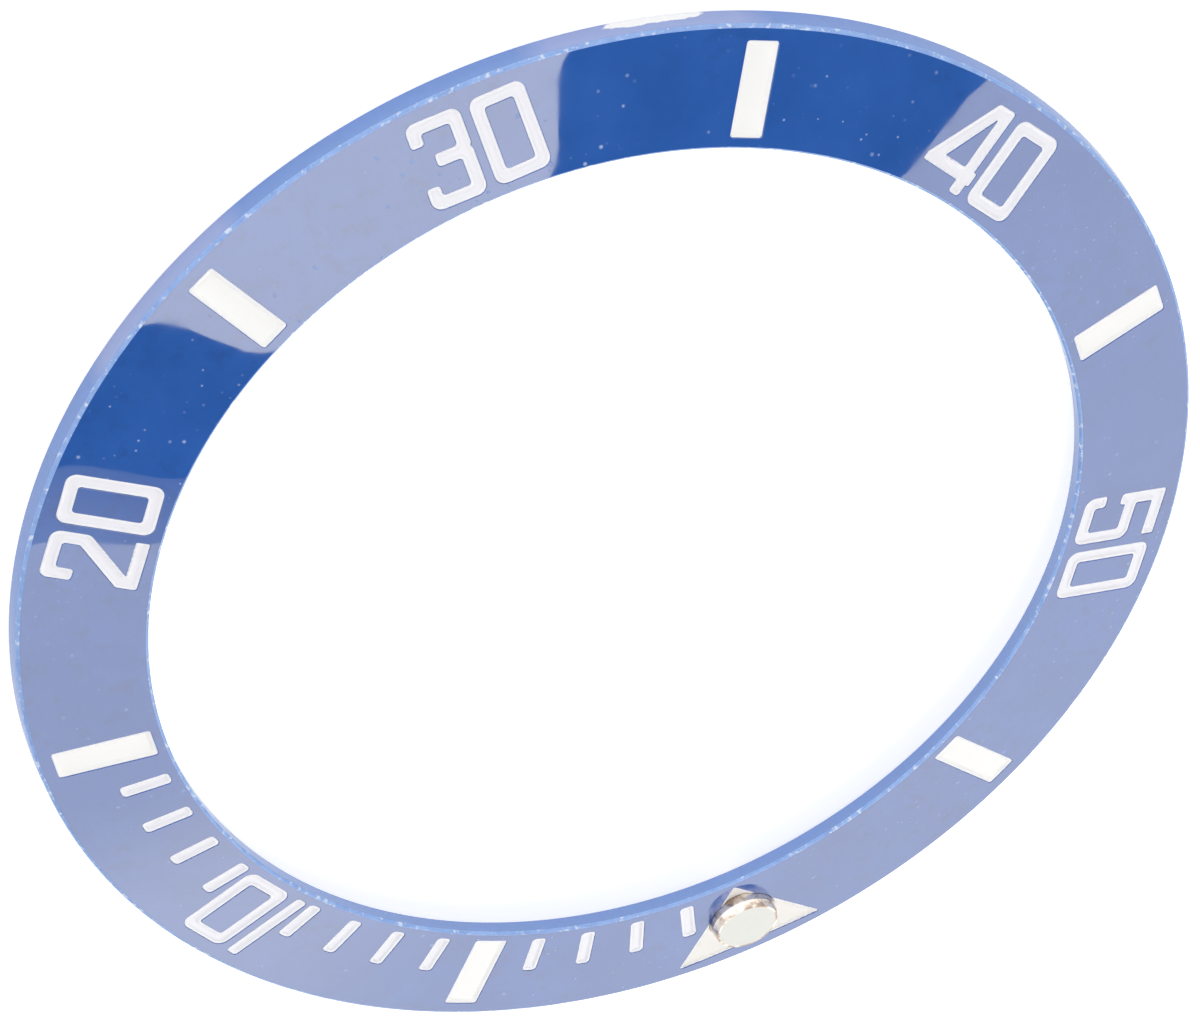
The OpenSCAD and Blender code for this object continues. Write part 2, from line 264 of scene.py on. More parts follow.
# Loops of each digit, the outline first and then its window, and the digit's width
DIGITS = {
    "one": ([box_corners(0, 0, ONE_W, DIGIT_H, END_R)], ONE_W),
    "two": ([two_corners()], DIGIT_W),
    "three": ([three_corners()], DIGIT_W),
    "four": (four_loops(), FOUR_W),
    "five": ([five_corners()], DIGIT_W),
    "zero": (zero_loops(), ZERO_W),
}


def marks():
    """Every inlay as (CAD nodes it stands for, minute, sideways shift, loops)."""
    made = [(["triangle_tip", "triangle_base"], 0, 0.0, [TRIANGLE])]
    bar = [box_corners(-BAR_W / 2, 0, BAR_W / 2, BAR_L, BAR_R)]
    tick = [box_corners(-TICK_W / 2, 0, TICK_W / 2, TICK_L, TICK_R)]
    for minute in range(5, 60, 10):
        made.append(([f"minute_bar_{minute:02d}"], minute, 0.0, bar))
    for minute in range(1, 15):
        if minute % 5:
            made.append(([f"minute_tick_{minute:02d}"], minute, 0.0, tick))
    for minute, first in zip(range(10, 60, 10), ["one", "two", "three", "four", "five"]):
        half = (DIGITS[first][1] + DIGIT_GAP + ZERO_W) / 2
        for digit, shift in ((first, -half), ("zero", half - ZERO_W)):
            made.append(([f"numeral_{minute}_{digit}"], minute, shift, DIGITS[digit][0]))
    return made


def moved_corner(a, b, c, inset):
    """The corner b with both of its sides brought in by the inset, and its new radius."""
    ab = Vector((b[0] - a[0], b[1] - a[1])).normalized()
    bc = Vector((c[0] - b[0], c[1] - b[1])).normalized()
    n = Vector((ab.y, -ab.x))
    m = Vector((bc.y, -bc.x))
    shift = (n + m) * inset / (1 + n.dot(m))
    convex = ab.x * bc.y - ab.y * bc.x > 0
    radius = b[2] - inset if convex else b[2] + inset
    if b[2] == 0:
        radius = 0
    return b[0] - shift.x, b[1] - shift.y, max(LEAST_ARC, radius)


def rounded_corner(a, b, c):
    """Points of the arc that rounds the corner b between its neighbours."""
    corner = Vector(b[:2])
    u = (Vector(a[:2]) - corner).normalized()
    w = (Vector(c[:2]) - corner).normalized()
    half = math.acos(max(-1.0, min(1.0, u.dot(w)))) / 2
    centre = corner + (u + w).normalized() * b[2] / math.sin(half)
    start = corner + u * b[2] / math.tan(half) - centre
    sweep = start.angle_signed(corner + w * b[2] / math.tan(half) - centre)
    arc = []
    for k in range(CORNER_STEPS + 1):
        turn = Matrix.Rotation(-sweep * k / CORNER_STEPS, 2)
        arc.append(centre + turn @ start)
    return arc


def loop_points(corners, inset):
    """A closed outline, drawn in by the inset, whose point count doesn't depend on the inset."""
    n = len(corners)
    kept = [moved_corner(corners[i - 1], corners[i], corners[(i + 1) % n], inset) for i in range(n)]
    arcs = [rounded_corner(kept[i - 1], kept[i], kept[(i + 1) % n]) for i in range(n)]
    points = []
    for i, arc in enumerate(arcs):
        points += arc
        here, there = corners[i], corners[(i + 1) % n]
        steps = max(1, round(math.dist(here[:2], there[:2]) / EDGE_STEP))
        start, end = arc[-1], arcs[(i + 1) % n][0]
        points += [start.lerp(end, k / steps) for k in range(1, steps)]
    return points


def on_ring(p, minute, shift):
    """A mark's own point in the plane of the ring."""
    angle = math.radians(6 * minute)
    x, y = p[0] + shift, p[1] + SCALE_R
    return x * math.cos(angle) + y * math.sin(angle), -x * math.sin(angle) + y * math.cos(angle)


def mark_loops(mark, inset):
    """The outline and the window of a mark in the plane of the ring, both drawn in."""
    _, minute, shift, loops = mark
    drawn = []
    for k, corners in enumerate(loops):
        points = loop_points(corners, inset if k == 0 else -inset)
        drawn.append([on_ring(p, minute, shift) for p in points])
    return drawn


def on_face(xy, depth=0.0):
    return point(xy[0], xy[1], face_z(math.hypot(*xy)) - depth)


def circle(r, steps=RING_STEPS):
    return [(r * math.sin(2 * math.pi * k / steps), r * math.cos(2 * math.pi * k / steps))
            for k in range(steps)]


def build(name, vertices, faces, materials, slot_name, nodes):
    """A piece of the object that stands for the CAD nodes."""
    mesh = bpy.data.meshes.new(name)
    mesh.from_pydata(vertices, [], faces)
    mesh.validate()
    for m in materials:
        mesh.materials.append(m)
    piece = bpy.data.objects.new(name, mesh)
    bpy.context.scene.collection.objects.link(piece)
    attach(piece, "root")
    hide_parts(*nodes)
    return piece


def shade(mesh, crease=CREASE):
    mesh.shade_smooth()
    mesh.set_sharp_from_angle(angle=math.radians(crease))


def places(sources):
    """Where each point that was given to a flat fill is among those that it made."""
    return {i: new for new, old in enumerate(sources) for i in old}


def fill(loops, more=()):
    """Fills the first loop and leaves out the others, with more points inside.

    Gives the flat points, the triangles, and where the loops' own points are among the points.
    """
    edges, regions, first = [], [], 0
    for loop in loops:
        ids = list(range(first, first + len(loop)))
        edges += zip(ids, ids[1:] + ids[:1])
        regions.append(ids)
        first += len(loop)
    points = [Vector(xy) for loop in loops for xy in loop] + [Vector(xy) for xy in more]
    result = geometry.delaunay_2d_cdt(points, edges, regions, 0, MERGE_GAP)
    made_points, _, made_faces, sources, _, origin = result
    flat = [(p.x, p.y) for p in made_points]
    triangles = [upward(t, flat) for t, inside in zip(made_faces, origin) if inside == [0]]
    made_from = places(sources)
    return flat, triangles, [made_from[i] for i in range(first)]


def fill_between(loops):
    """Triangles that fill the first loop and leave out the others, in the order of the points."""
    _, triangles, made = fill(loops)
    place = {new: i for i, new in enumerate(made)}
    return [tuple(place[i] for i in t) for t in triangles]


def distance_to(loops, points):
    """Distance of each point to the nearest side of the closed loops."""
    nearest = np.full(len(points), np.inf)
    for loop in loops:
        a = np.array(loop)
        side = np.roll(a, -1, axis=0) - a
        lengths = np.maximum((side ** 2).sum(axis=1), LEAST_SQUARE)
        from_a = points[:, None, :] - a[None]
        along = np.clip((from_a * side).sum(axis=2) / lengths, 0, 1)
        gap = np.linalg.norm(from_a - along[..., None] * side, axis=2).min(axis=1)
        nearest = np.minimum(nearest, gap)
    return nearest


def trough(mark, outline):
    """Top of a filling: flat points, how far in they lie, triangles, and the outline's points."""
    rings = [xy for inset, _ in TROUGH[1:] for loop in mark_loops(mark, inset) for xy in loop]
    insets = [inset for inset, _ in TROUGH[1:] for loop in outline for _ in loop]
    inside = distance_to(outline, np.array(rings)) > np.array(insets) - TROUGH_SLACK
    flat, triangles, rim = fill(outline, [xy for xy, kept in zip(rings, inside) if kept])
    return flat, distance_to(outline, np.array(flat)), triangles, rim


def inlay(mark, materials):
    """White filling: a trough with a lip of its own, and the hidden underside of its recess."""
    outline = mark_loops(mark, 0.0)
    flat, gaps, triangles, rim = trough(mark, outline)
    depths = np.interp(gaps, *zip(*TROUGH))
    vertices = [on_face(xy, depth) for xy, depth in zip(flat, depths)]
    faces = list(triangles)
    # Triangles farther in than the lip take the floor's material, which is painted greyer as shade in
    # narrow marks and the triangle
    groups = [int(max(gaps[i] for i in t) > LIP_W) for t in triangles]
    low = len(vertices)
    vertices += [on_face(xy, RECESS_DEPTH) for loop in outline for xy in loop]
    first = 0
    for k, loop in enumerate(outline):
        for i in range(len(loop)):
            a, b = first + i, first + (i + 1) % len(loop)
            quad = (low + a, low + b, rim[b], rim[a])
            faces.append(quad if k == 0 else quad[::-1])
        first += len(loop)
    faces += [tuple(low + i for i in t[::-1]) for t in fill_between(outline)]
    groups += [0] * (len(faces) - len(groups))
    name = "fine_" + mark[0][0].replace("triangle_tip", "triangle")
    piece = build(name, vertices, faces, materials, "white_fill", mark[0])
    piece.data.polygons.foreach_set("material_index", groups)
    shade(piece.data)
    return piece


def upward(triangle, flat):
    """The triangle's corners in the order that makes it face up."""
    (ax, ay), (bx, by), (cx, cy) = (flat[i] for i in triangle)
    turn = (bx - ax) * (cy - ay) - (by - ay) * (cx - ax)
    return tuple(triangle) if turn > 0 else tuple(triangle)[::-1]


def ring_profile():
    """Radius and height from the face's outer edge round the back to its inner edge."""
    def crown(a, b, side):
        middle = ((a[0] + b[0]) / 2 + side * EDGE_CROWN[0], (a[1] + b[1]) / 2 + EDGE_CROWN[1])
        return [a, middle, b]

    bore_low = face_z(BORE_R) - BORE_H
    outer = crown((RING_R - FRONT_EDGE, face_z(RING_R - FRONT_EDGE)), (RING_R, RIM_H - FRONT_EDGE), 1)
    inner = crown((BORE_R, face_z(BORE_R) - FRONT_EDGE),
                  (BORE_R + FRONT_EDGE, face_z(BORE_R + FRONT_EDGE)), -1)
    back = [
        (RING_R, BACK_EDGE), (RING_R - BACK_EDGE, 0), (RING_R - SEAT_W, 0),
        (BORE_R + BACK_EDGE, back_z(BORE_R + BACK_EDGE)), (BORE_R, bore_low + BACK_EDGE),
    ]
    return outer, back, inner


def face_mesh(all_marks, circles):
    """Points and triangles of the sloping face, with the marks left out."""
    points, edges, regions, kinds = [], [], [], []

    def add_loop(loop, kind, clockwise=False):
        start = len(points)
        points.extend(loop)
        ids = list(range(start, len(points)))
        edges.extend(zip(ids, ids[1:] + ids[:1]))
        # A region counts only where its points run counter-clockwise
        regions.append(ids[::-1] if clockwise else ids)
        kinds.append(kind)
        return ids

    outer_ids = add_loop(circles[0], "ring", clockwise=True)
    inner_ids = add_loop(circles[1], "bore", clockwise=True)
    for mark in all_marks:
        for k, loop in enumerate(mark_loops(mark, RECESS_LIP[0][0])):
            add_loop(loop, "mark" if k == 0 else "window")
    for across in FACE_RINGS:
        points.extend(circle((RING_R + BORE_R + across * (RING_R - BORE_R)) / 2, RING_STEPS // 2))
    result = geometry.delaunay_2d_cdt([Vector(p) for p in points], edges, regions, 0, MERGE_GAP)
    made_points, _, made_faces, sources, _, origin = result
    kept = []
    for triangle, inside in zip(made_faces, origin):
        names = {kinds[i] for i in inside}
        if "bore" in names or "ring" not in names:
            continue
        if "mark" in names and "window" not in names:
            continue
        kept.append(triangle)
    return made_points, kept, sources, outer_ids, inner_ids


def fine_ring(all_marks, materials):
    """Closed ring with a finely divided face, its recesses and the turned rest."""
    outer, back, inner = ring_profile()
    circles = circle(outer[0][0]), circle(inner[-1][0])
    flat, triangles, sources, outer_ids, inner_ids = face_mesh(all_marks, circles)
    vertices = [on_face((p.x, p.y)) for p in flat]
    faces = [upward(t, flat) for t in triangles]
    groups = [FACE] * len(faces)
    made_from = places(sources)

    def add_band(first, second, group, flip=False):
        n = len(first)
        for i in range(n):
            j = (i + 1) % n
            quad = (first[i], first[j], second[j], second[i])
            faces.append(quad[::-1] if flip else quad)
            groups.append(group)

    # The turned part: outer edge, wall, back, bore wall, inner edge
    profile = outer + back + inner
    bands = [EDGE] * (len(outer) - 1) + [WALL] + [BACK] * (len(back) - 1) + [WALL]
    bands += [EDGE] * (len(inner) - 1)
    previous = [made_from[i] for i in outer_ids]
    for k, (r, z) in enumerate(profile[1:], 1):
        if k == len(profile) - 1:
            current = [made_from[i] for i in inner_ids]
        else:
            current = list(range(len(vertices), len(vertices) + RING_STEPS))
            vertices += [point(x, y, z) for x, y in circle(r)]
        add_band(previous, current, bands[k - 1])
        previous = current

    # Walls and floors of the recesses, whose points come after those of the two circles
    first = 2 * RING_STEPS
    for mark in all_marks:
        levels = [mark_loops(mark, inset) for inset, _ in RECESS_LIP]
        floor = []
        for k, loop in enumerate(levels[0]):
            above = [made_from[first + i] for i in range(len(loop))]
            first += len(loop)
            for level, (_, depth) in list(zip(levels, RECESS_LIP))[1:]:
                below = list(range(len(vertices), len(vertices) + len(loop)))
                vertices += [on_face(xy, depth) for xy in level[k]]
                add_band(above, below, FACE, flip=k > 0)
                above = below
            floor += above
        faces += [tuple(floor[i] for i in t) for t in fill_between(levels[-1])]
    groups += [FACE] * (len(faces) - len(groups))
    piece = build("fine_ring", vertices, faces, materials, "blue_ceramic", ["insert_ring"])
    piece.data.polygons.foreach_set("material_index", groups)
    cut_pearl_hole(piece)
    set_face_normals(piece.data)


def on_cone(vertex):
    """Whether a vertex of the ring lies on the sloping face."""
    return abs(vertex.co.z - on_face(vertex.co.xy / MM).z) < CONE_SLACK * MM


def set_face_normals(mesh):
    """Gives the sloping face the normals of its cone, so that its reflections run smoothly.

    Polishing has rolled the face over by a fraction of a degree towards both of its edges.
    """
    normals = [Vector(n.vector) for n in mesh.corner_normals]
    middle, half = (RING_R + BORE_R) / 2, (RING_R - BORE_R) / 2
    conical = [on_cone(v) for v in mesh.vertices]
    for polygon in mesh.polygons:
        if not all(conical[v] for v in polygon.vertices):
            continue
        for loop in polygon.loop_indices:
            at = mesh.vertices[mesh.loops[loop].vertex_index].co
            out = Vector((at.x, at.y, 0)).normalized()
            across = (math.hypot(at.x, at.y) / MM - middle) / half
            from_worst = math.atan2(at.x, at.y) - math.radians(6 * ROLL_OFF_AT)
            rolled = (1 + math.cos(from_worst)) / 2 * across ** ROLL_OFF_POWER
            tilt = FACE_ANGLE + ROLL_OFF * rolled
            normals[loop] = out * math.sin(tilt) + Vector((0, 0, math.cos(tilt)))
    mesh.normals_split_custom_set(normals)


def turned(profile):
    """Vertices and faces turned about the pearl's axis from (radius, height above the face)."""
    tilt = Matrix.Rotation(-FACE_ANGLE, 3, "X")
    foot = Vector((0, PEARL_AT, face_z(PEARL_AT)))
    vertices, faces = [], []
    for r, z in profile:
        vertices += [(foot + tilt @ Vector((x, y, z))) * MM for x, y in circle(r, PEARL_STEPS)]
    for k in range(len(profile) - 1):
        for i in range(PEARL_STEPS):
            j = (i + 1) % PEARL_STEPS
            a, b = k * PEARL_STEPS, (k + 1) * PEARL_STEPS
            faces.append((a + j, a + i, b + i, b + j))
    last = (len(profile) - 1) * PEARL_STEPS
    faces.append(tuple(range(PEARL_STEPS)))
    faces.append(tuple(range(last, last + PEARL_STEPS))[::-1])
    return vertices, faces


def cut_pearl_hole(piece):
    """Cuts the pearl's counterbore and the slanting passage of its stem out of a piece."""
    hole_r, passage_r = PEARL_R + PEARL_GAP, STEM_R + PEARL_GAP
    profile = [(passage_r, -CUT_REACH), (passage_r, -PEARL_SEAT), (hole_r, -PEARL_SEAT),
               (hole_r, CUT_REACH)]
    mesh = bpy.data.meshes.new("pearl_hole")
    vertices, faces = turned(profile)
    mesh.from_pydata(vertices, [], faces)
    cutter = bpy.data.objects.new("pearl_hole", mesh)
    bpy.context.scene.collection.objects.link(cutter)
    cut = piece.modifiers.new("pearl_hole", "BOOLEAN")
    cut.operation = "DIFFERENCE"
    cut.solver = "EXACT"
    cut.object = cutter
    bpy.context.view_layer.update()
    evaluated = piece.evaluated_get(bpy.context.evaluated_depsgraph_get())
    mesh = bpy.data.meshes.new_from_object(evaluated)
    piece.modifiers.clear()
    piece.data = mesh
    bpy.data.objects.remove(cutter)
    shade(piece.data)


def arc(centre, radius, start, end, steps=ARC_STEPS):
    """Points of an arc in a turned profile, with its angles in degrees."""
    angles = [math.radians(start + (end - start) * k / steps) for k in range(steps + 1)]
    return [(centre[0] + radius * math.cos(a), centre[1] + radius * math.sin(a)) for a in angles]


def pearl_cup(material):
    """Metal cup with a stem, a rounded collar and a neck that leans in to its rounded rim."""
    rim = arc((LUME_R + RIM_R, PEARL_STAND - RIM_R), RIM_R, NECK_LEAN, 180, RIM_STEPS)
    neck_h = rim[0][1] - COLLAR_STAND - NECK_FILLET
    neck_foot = rim[0][0] + neck_h * math.tan(math.radians(NECK_LEAN))
    fillet_x = neck_foot + NECK_FILLET * math.cos(math.radians(NECK_LEAN))
    shoulder_w = PEARL_R - fillet_x
    depth = (face_z(PEARL_AT) - back_z(PEARL_AT)) * math.cos(FACE_ANGLE) - STEM_END_GAP
    profile = [(STEM_R, -depth), (STEM_R, -PEARL_SEAT), (PEARL_R, -PEARL_SEAT)]
    profile += [(PEARL_R + shoulder_w * (x - 1), COLLAR_STAND + SHOULDER_H * (z - 1))
                for x, z in arc((0, 0), 1, 0, 90)]
    fillet = arc((fillet_x, COLLAR_STAND + NECK_FILLET), NECK_FILLET, 270, 180 + NECK_LEAN,
                 FILLET_STEPS)
    profile += fillet[1:] + rim + [(LUME_R, 0.0)]
    piece = build("fine_pearl_cup", *turned(profile), [material], "polished_steel", ["pearl_cup"])
    shade(piece.data, PEARL_CREASE)


def pearl_lume(material):
    """Luminous filling of the cup, domed, with its edge lapped onto the cup's rim."""
    edge_z = PEARL_STAND - LUME_BELOW
    rise = LUME_RISE - RIM_R + LUME_BELOW
    edge_r = LUME_R + RIM_R - math.sqrt(RIM_R ** 2 - (RIM_R - LUME_BELOW) ** 2)
    dome_r = (edge_r ** 2 + rise ** 2) / (2 * rise)
    profile = [(LUME_R, 0.0), (LUME_R, PEARL_STAND - RIM_R)]
    for k in range(DOME_STEPS):
        r = edge_r * (1 - k / DOME_STEPS)
        profile.append((r, edge_z + rise - dome_r + math.sqrt(dome_r ** 2 - r ** 2)))
    piece = build("fine_pearl_lume", *turned(profile), [material], "lume", ["pearl_lume"])
    shade(piece.data, PEARL_CREASE)


class Nodes:
    """Short hand for a material's node tree."""

    def __init__(self, name):
        self.material = bpy.data.materials.new(name)
        self.material.use_nodes = True
        self.tree = self.material.node_tree
        self.shader = self.tree.nodes["Principled BSDF"]

    def add(self, kind, inputs=None, **settings):
        node = self.tree.nodes.new(kind)
        for key, value in settings.items():
            setattr(node, key, value)
        for key, value in (inputs or {}).items():
            self.put(node.inputs[key], value)
        return node

    def put(self, socket, value):
        if isinstance(value, bpy.types.NodeSocket):
            self.tree.links.new(value, socket)
        else:
            socket.default_value = value

    def set(self, **values):
        for key, value in values.items():
            self.put(self.shader.inputs[key.replace("_", " ")], value)

    def place(self):
        return self.add("ShaderNodeTexCoord").outputs["Object"]

    def noise(self, scale, detail=4.0, roughness=0.5):
        node = self.add("ShaderNodeTexNoise", {"Vector": self.place(), "Scale": scale,
                                               "Detail": detail, "Roughness": roughness})
        return node.outputs["Fac"]

    def spots(self, scale, size, softness):
        """White within size of scattered points, in cells of 1 / scale, else black."""
        node = self.add("ShaderNodeTexVoronoi", {"Vector": self.place(), "Scale": scale,
                                                 "Randomness": 1.0})
        return self.span(node.outputs["Distance"], size, size * softness, 1.0, 0.0)

    def patch(self, minute, z, length, height):
        """How far from the middle of a patch on the outer wall, 1 at its border."""
        angle = math.radians(minute * 6)
        centre = point(RING_R * math.sin(angle), RING_R * math.cos(angle), z)
        shift = self.add("ShaderNodeVectorMath", {0: self.place(), 1: centre}, operation="SUBTRACT")
        turned = self.add("ShaderNodeVectorRotate", {"Vector": shift.outputs[0], "Angle": angle})
        shape = [2 / size / MM for size in (length, PATCH_REACH, height)]
        scaled = self.add("ShaderNodeVectorMath", {0: turned.outputs[0], 1: shape},
                          operation="MULTIPLY")
        away = self.add("ShaderNodeVectorMath", {0: scaled.outputs[0]}, operation="LENGTH")
        return away.outputs["Value"]

    def painted_highlight(self):
        """White in the painted highlight low on the outer wall, else black."""
        ragged = self.math("ADD", self.patch(*PAINTED_HIGHLIGHT), self.noise(1500, 3))
        return self.span(ragged, *PAINTED_HIGHLIGHT_FADE, 1, 0)

    def pale_stretches(self):
        """White in the paler stretches of the outer wall, else black."""
        first, second = (self.span(self.patch(*h), *PALE_STRETCH_FADE, 1, 0) for h in PALE_STRETCHES)
        return self.math("MAXIMUM", first, second)

    def math(self, operation, a, b):
        return self.add("ShaderNodeMath", {0: a, 1: b}, operation=operation).outputs[0]

    def both(self, a, b):
        """White where both are."""
        return self.math("MULTIPLY", a, b)

    def span(self, value, low, high, out_low, out_high):
        node = self.add("ShaderNodeMapRange", {"Value": value, "From Min": low, "From Max": high,
                                               "To Min": out_low, "To Max": out_high})
        return node.outputs["Result"]

    def mix(self, factor, a, b):
        """From colour a to colour b, which are the node's inputs 6 and 7."""
        node = self.add("ShaderNodeMix", data_type="RGBA")
        self.put(node.inputs[0], factor)
        self.put(node.inputs[6], a)
        self.put(node.inputs[7], b)
        return node.outputs[2]

    def bump(self, height, distance, strength=1.0):
        node = self.add("ShaderNodeBump", {"Height": height, "Distance": distance,
                                           "Strength": strength})
        self.put(self.shader.inputs["Normal"], node.outputs["Normal"])


def srgb(r, g, b):
    """A colour given as it shows on screen, from 0 to 255, in linear light."""
    parts = [c / 255 for c in (r, g, b)]
    return tuple(c / 12.92 if c <= 0.04045 else ((c + 0.055) / 1.055) ** 2.4 for c in parts) + (1.0,)


BLUE = srgb(44, 99, 187)
DEEP_BLUE = srgb(33, 88, 173)
CHIP_BLUE = srgb(200, 218, 248)
PALE_STRETCH_BLUE = srgb(124, 147, 212)
SMEAR_BLUE = srgb(32, 66, 128)
DUST = srgb(103, 142, 208)
CERAMIC_IOR = 2.15
# The glaze mirrors a little warmer than the lamps are
MIRROR_TINT = (1.0, 0.95, 0.77, 1)


def glazed_ceramic():
    """The polished face, with matt dust in patches and faint wiping marks."""
    n = Nodes("blue_ceramic")
    clouds = n.mix(n.span(n.noise(320, 5, 0.6), 0.3, 0.7, 0, 1), DEEP_BLUE, BLUE)
    smears = n.both(n.span(n.noise(1700, 4, 0.65), 0.52, 0.68, 0, 0.3),
                    n.span(n.noise(170, 1), 0.42, 0.56, 0, 1))
    colour = n.mix(smears, clouds, SMEAR_BLUE)
    fine = n.both(n.spots(2600, 0.07, 2.0), n.span(n.noise(240, 2), 0.48, 0.64, 0, 1))
    coarse = n.both(n.spots(1300, 0.05, 2.4), n.span(n.noise(420, 1), 0.44, 0.56, 0, 0.9))
    dust = n.math("MAXIMUM", fine, coarse)
    n.set(Base_Color=n.mix(dust, colour, DUST), IOR=CERAMIC_IOR, Specular_Tint=MIRROR_TINT)
    clean = n.span(n.noise(700, 5), 0.3, 0.7, 0.008, 0.03)
    n.set(Roughness=n.math("MAXIMUM", clean, n.span(dust, 0, 1, 0, 0.5)))
    n.bump(n.noise(500, 2), 0.000001, 0.2)
    return n.material


def ground_edge():
    """The chamfers, ground less finely than the face and chipped here and there."""
    n = Nodes("ground_edge")
    grain = n.span(n.noise(2200, 6, 0.7), 0.3, 0.7, 0, 1)
    chips = n.span(n.noise(4200, 3, 0.6), 0.57, 0.65, 0, 1)
    n.set(Base_Color=n.mix(chips, n.mix(grain, srgb(84, 134, 210), srgb(130, 172, 236)), CHIP_BLUE))
    n.set(IOR=CERAMIC_IOR, Roughness=n.span(grain, 0, 1, 0.34, 0.5))
    n.bump(n.mix(chips, grain, (1, 1, 1, 1)), 0.00002, 0.6)
    return n.material


def ground_wall():
    """The ground outer wall and bore wall, satin and paler than the polished face. The outer wall
    carries a painted highlight near its foot and paler stretches.
    """
    n = Nodes("ground_wall")
    grain = n.noise(1800, 5, 0.6)
    blue = n.mix(grain, srgb(56, 114, 200), srgb(70, 128, 212))
    # The wall is mixed to a paler blue in two stretches along it
    with_stretches = n.mix(n.pale_stretches(), blue, PALE_STRETCH_BLUE)
    # The near-white patch mixed in here is a painted highlight, colour in place of a lamp's
    # reflection
    n.set(Base_Color=n.mix(n.painted_highlight(), with_stretches, srgb(248, 250, 255)), IOR=CERAMIC_IOR)
    n.set(Roughness=n.span(grain, 0.3, 0.7, 0.12, 0.24))
    n.bump(grain, 0.000006, 0.5)
    return n.material


def bare_back():
    """The unglazed back, matt and a little paler."""
    n = Nodes("bare_back")
    grain = n.noise(3000, 6, 0.6)
    n.set(Base_Color=n.mix(grain, srgb(52, 98, 172), srgb(66, 112, 186)), IOR=CERAMIC_IOR)
    n.set(Roughness=n.span(grain, 0.3, 0.7, 0.35, 0.5))
    n.bump(grain, 0.000006, 0.6)
    return n.material


def white_fill(name, low, high):
    n = Nodes(name)
    n.set(Base_Color=n.mix(n.noise(600, 3), low, high))
    n.set(Roughness=n.span(n.noise(2500, 3), 0.3, 0.7, 0.28, 0.33))
    n.bump(n.noise(4000, 3), 0.000002, 0.15)
    return n.material


def polished_steel():
    n = Nodes("polished_steel")
    # The steel's colour varies by noise between cream and tan; the tan patches are painted reflection
    # of the collar's surroundings
    painted_tan_reflection = n.span(n.noise(2600, 3), 0.44, 0.6, 0, 1)
    n.set(Metallic=0.85, Base_Color=n.mix(painted_tan_reflection, srgb(242, 233, 223), srgb(172, 151, 136)))
    n.set(Roughness=n.span(n.noise(3500, 4), 0.3, 0.7, 0.24, 0.38))
    n.bump(n.noise(2500, 3), 0.000006, 0.5)
    return n.material


def lume():
    n = Nodes("lume")
    grain = n.noise(9000, 4, 0.6)
    n.set(Base_Color=n.mix(grain, srgb(222, 224, 222), srgb(232, 233, 232)))
    n.set(Roughness=n.span(grain, 0.3, 0.7, 0.3, 0.45))
    n.bump(grain, 0.000004, 0.5)
    return n.material


def softbox(name, corners, radiance, faces=None, hot=None):
    """A glowing panel that only lights and reflects, brighter at its hot spot if it has one."""
    mesh = bpy.data.meshes.new(name)
    mesh.from_pydata(corners, [], faces or [tuple(range(len(corners)))])
    panel = bpy.data.objects.new(name, mesh)
    bpy.context.scene.collection.objects.link(panel)
    panel.visible_camera = False
    material = bpy.data.materials.new(name)
    material.use_nodes = True
    tree = material.node_tree
    tree.nodes.clear()
    output = tree.nodes.new("ShaderNodeOutputMaterial")
    glow = tree.nodes.new("ShaderNodeEmission")
    glow.inputs["Color"].default_value = LAMP_COLOUR
    glow.inputs["Strength"].default_value = radiance
    tree.links.new(glow.outputs[0], output.inputs["Surface"])
    if hot:
        extra, middle, reach = hot
        place = tree.nodes.new("ShaderNodeTexCoord")
        away = tree.nodes.new("ShaderNodeVectorMath")
        away.operation = "DISTANCE"
        away.inputs[1].default_value = middle
        fall = tree.nodes.new("ShaderNodeMapRange")
        fall.interpolation_type = "SMOOTHERSTEP"
        fall.inputs["From Max"].default_value = reach
        fall.inputs["To Min"].default_value = radiance + extra
        fall.inputs["To Max"].default_value = radiance
        tree.links.new(place.outputs["Object"], away.inputs[0])
        tree.links.new(away.outputs["Value"], fall.inputs["Value"])
        tree.links.new(fall.outputs["Result"], glow.inputs["Strength"])
    mesh.materials.append(material)


# Studio, in metres: a shaped back wall with a dim card behind its right side, an overhead
# panel with a gap to the wall and a dark flag behind it, and a fill of two curved bands
# round the camera's side
LAMP_COLOUR = (1.0, 0.985, 0.95, 1)
WALL_Y = 0.4
WALL_SHAPE = [(-0.19, 0.05), (0.1, 0.05), (0.42, 0.477), (0.13, 0.863), (-0.369, 0.863),
              (-0.467, 0.45)]
WALL_LEVEL = 1.85
CARD_SHAPE = [(0.15, 0.0), (1.07, 0.0), (0.15, 0.986)]
CARD_GAP = 0.01
CARD_LEVEL = 0.35
# Hot spots: what they add to the level, their middle and their reach
WALL_HOT = (0.55, (0.11, WALL_Y, 0.25), 0.15)
CARD_HOT = (0.5, (0.25, WALL_Y, 0.7), 0.25)
OVERHEAD_Z = 0.9
OVERHEAD_EDGE = 0.243
OVERHEAD_DEPTH = 0.45
OVERHEAD_SPAN = (-0.28, 0.36)
OVERHEAD_TURN = math.radians(15)
OVERHEAD_LEVEL = 2.6
FILL_R = 0.75
FILL_STEPS = 14
# Reach to each side, tilt, foot, top and level of the two bands of the fill
FILL_BANDS = {
    "low_fill": (math.radians(75), 0.0, 0.03, 0.33, 2.0),
    "ring_fill": (math.radians(145), -FACE_ANGLE, 0.4, 0.62, 2.0),
}
FLAG_SHAPE = [(-0.8, 0.65, 0.4), (0.6, 0.65, 0.4), (0.6, 0.25, 1.25), (-0.8, 0.25, 1.25)]
FLAG_LEVEL = 0.08
# The floor lies this many millimetres under the seat
FLOOR_GAP = 0.01
FLOOR_SIZE = 3.0
FLOOR_GREY = 0.75
FLOOR_ROUGHNESS = 0.9
FLOOR_LIFT = 0.7
WORLD_LEVEL = 0.04


